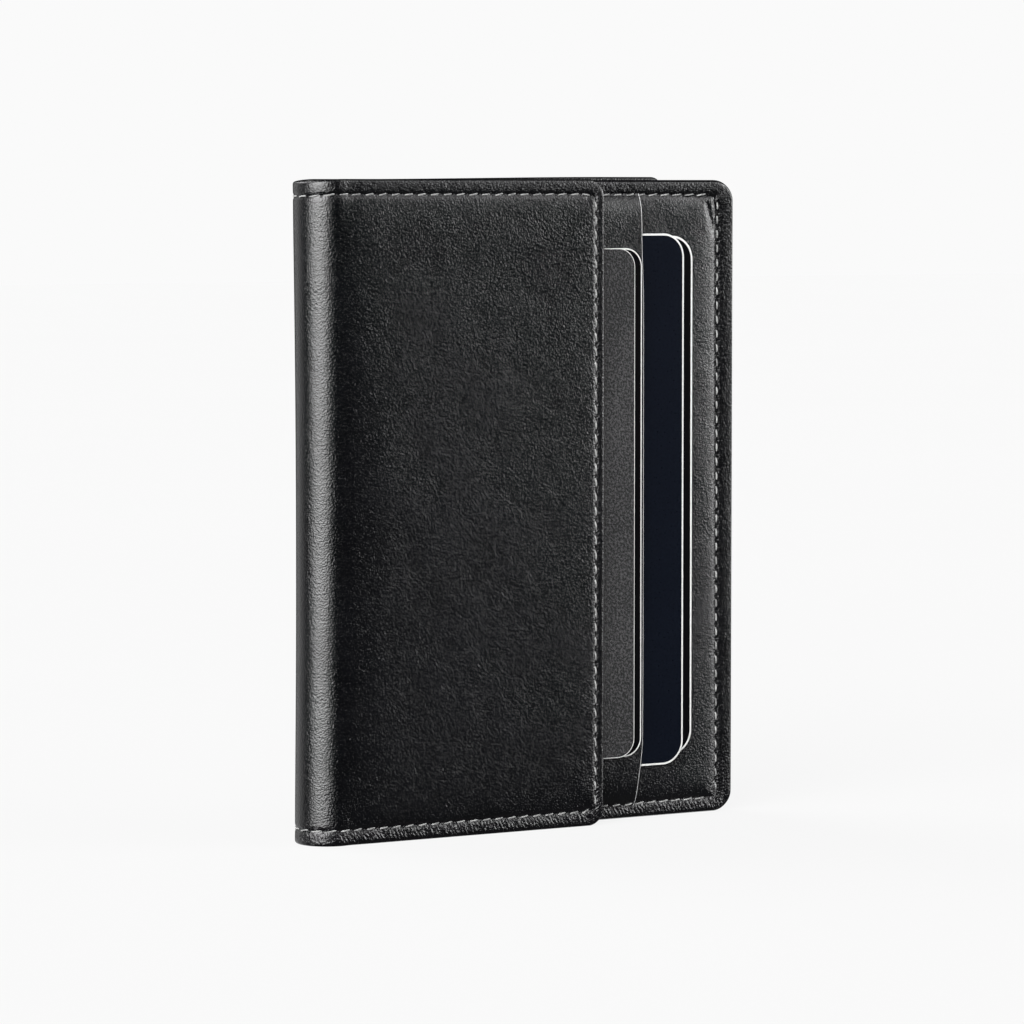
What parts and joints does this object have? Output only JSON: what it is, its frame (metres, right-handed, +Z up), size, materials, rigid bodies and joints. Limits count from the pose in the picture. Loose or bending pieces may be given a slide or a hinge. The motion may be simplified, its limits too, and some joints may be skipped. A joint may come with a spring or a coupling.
{
  "type": "card holder",
  "caption": "Upright folding card holder in black stitched leather: short front cover, rounded spine, card leaf with stepped slip pockets holding cards, and a back cover.",
  "frame": {"origin": "centre of the footprint, on the surface that the holder stands on", "axes": "+Z up along the spine, -Y out of the front cover, +X from the spine to the free edges, where the cards come out"},
  "size_m": [0.0834, 0.0112, 0.1084],
  "materials": {
    "cover_leather": "smooth black calf leather, semi-gloss, fine pore grain",
    "pocket_leather": "smooth black leather, satin, fine grain",
    "lining_leather": "thin black lining leather, matt",
    "board": "bonded fibre board, matt",
    "padding": "pressed felt interlining",
    "thread": "waxed light grey polyester thread",
    "grey_card": "dark grey card with a pale edge line, fine matt grain",
    "black_card": "black card with a pale edge line",
    "blue_card": "blue-black card with a pale edge line",
    "plain_card": "black card with a pale edge line"
  },
  "bodies": {
    "centre_leaf": {"centre_back_leather": "cover_leather", "centre_padding": "padding", "centre_base_panel": "pocket_leather", "centre_stitching": "thread", "centre_hinge_strip": "lining_leather", "inner_pocket": "pocket_leather", "outer_pocket": "pocket_leather", "spine_ridge_leather": "cover_leather", "spine_ridge_lining": "lining_leather", "spine_ridge_stitching": "thread"},
    "front_spine": {"front_spine_leather": "cover_leather", "front_spine_lining": "lining_leather", "front_spine_stitching": "thread"},
    "front_cover": {"front_cover_leather": "cover_leather", "front_cover_board": "board", "front_cover_lining": "lining_leather", "front_cover_stitching": "thread"},
    "back_spine": {"back_spine_leather": "cover_leather", "back_spine_lining": "lining_leather", "back_spine_stitching": "thread"},
    "back_cover": {"back_cover_leather": "cover_leather", "back_cover_board": "board", "back_cover_lining": "lining_leather", "back_cover_stitching": "thread"},
    "grey_card": {"grey_card": "grey_card"},
    "black_card": {"black_card": "black_card"},
    "blue_card": {"blue_card": "blue_card"},
    "plain_card": {"plain_card": "plain_card"}
  },
  "joints": [
    {"name": "front_spine_fold", "type": "hinge", "parent": "centre_leaf", "child": "front_spine", "pos_m": [-0.04139, -0.00198, 0.054], "axis": [0, 0, -1], "range_deg": [0, 90]},
    {"name": "front_cover_fold", "type": "hinge", "parent": "front_spine", "child": "front_cover", "pos_m": [-0.03615, -0.0056, 0.054], "axis": [0, 0, -1], "range_deg": [0, 90]},
    {"name": "back_spine_fold", "type": "hinge", "parent": "centre_leaf", "child": "back_spine", "pos_m": [-0.04139, 0.00198, 0.054], "axis": [0, 0, 1], "range_deg": [0, 90]},
    {"name": "back_cover_fold", "type": "hinge", "parent": "back_spine", "child": "back_cover", "pos_m": [-0.03615, 0.0056, 0.054], "axis": [0, 0, 1], "range_deg": [0, 90]},
    {"name": "grey_card_slide", "type": "slide", "parent": "centre_leaf", "child": "grey_card", "axis": [1, 0, 0], "range_m": [-0.0005, 0.04]},
    {"name": "black_card_slide", "type": "slide", "parent": "centre_leaf", "child": "black_card", "axis": [1, 0, 0], "range_m": [-0.002, 0.04]},
    {"name": "blue_card_slide", "type": "slide", "parent": "centre_leaf", "child": "blue_card", "axis": [1, 0, 0], "range_m": [-0.01, 0.042]},
    {"name": "plain_card_slide", "type": "slide", "parent": "centre_leaf", "child": "plain_card", "axis": [1, 0, 0], "range_m": [-0.016, 0.036]}
  ],
  "couplings": [
    {"joint": "front_cover_fold", "follows": "front_spine_fold", "ratio": 1},
    {"joint": "back_cover_fold", "follows": "back_spine_fold", "ratio": 1}
  ]
}
